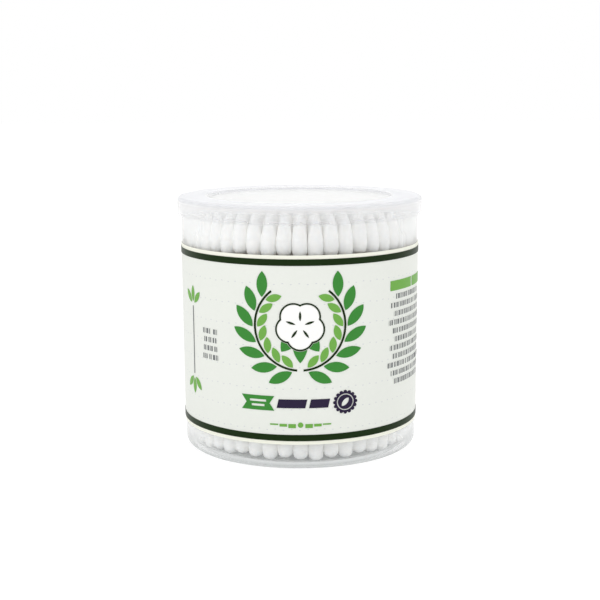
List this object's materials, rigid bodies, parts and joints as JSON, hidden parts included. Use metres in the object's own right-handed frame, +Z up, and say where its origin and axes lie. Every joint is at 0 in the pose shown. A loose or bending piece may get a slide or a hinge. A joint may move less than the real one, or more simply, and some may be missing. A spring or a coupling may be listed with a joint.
{
  "type": "cotton swab tub",
  "caption": "Round clear plastic tub of paper-stick cotton swabs on end, with a press-on lid and a printed paper label band.",
  "frame": {"origin": "centre of the foot ring, on the surface that the tub stands on", "axes": "+Z up along the tub's axis, -Y out of the front of the label, +X to its right"},
  "size_m": [0.0762, 0.0762, 0.0784],
  "materials": {
    "clear_plastic": "gloss",
    "lid_plastic": "satin",
    "label_paper": "satin",
    "cotton": "matte",
    "stick_paper": "matte",
    "ink_white": "satin",
    "ink_dark_green": "satin",
    "ink_mid_green": "satin",
    "ink_light_green": "satin",
    "ink_violet": "satin",
    "ink_grey": "satin"
  },
  "bodies": {
    "tub": {"tub": "clear_plastic", "label_paper": "label_paper", "print_white": "ink_white", "print_dark_green": "ink_dark_green", "print_mid_green": "ink_mid_green", "print_light_green": "ink_light_green", "print_violet": "ink_violet", "print_grey": "ink_grey", "pointed_buds_row_1": "cotton", "pointed_buds_row_2": "cotton", "pointed_buds_row_3": "cotton", "pointed_buds_row_4": "cotton", "pointed_buds_row_5": "cotton", "pointed_buds_row_6": "cotton", "pointed_buds_row_7": "cotton", "pointed_buds_row_8": "cotton", "round_buds_row_1": "cotton", "round_buds_row_2": "cotton", "round_buds_row_3": "cotton", "round_buds_row_4": "cotton", "round_buds_row_5": "cotton", "round_buds_row_6": "cotton", "round_buds_row_7": "cotton", "round_buds_row_8": "cotton", "sticks_row_1": "stick_paper", "sticks_row_2": "stick_paper", "sticks_row_3": "stick_paper", "sticks_row_4": "stick_paper", "sticks_row_5": "stick_paper", "sticks_row_6": "stick_paper", "sticks_row_7": "stick_paper", "sticks_row_8": "stick_paper"},
    "lid": {"lid": "lid_plastic"}
  },
  "joints": [
    {"name": "lid_lift", "type": "slide", "parent": "tub", "child": "lid", "axis": [0, 0, 1], "range_m": [0, 0.08]}
  ]
}
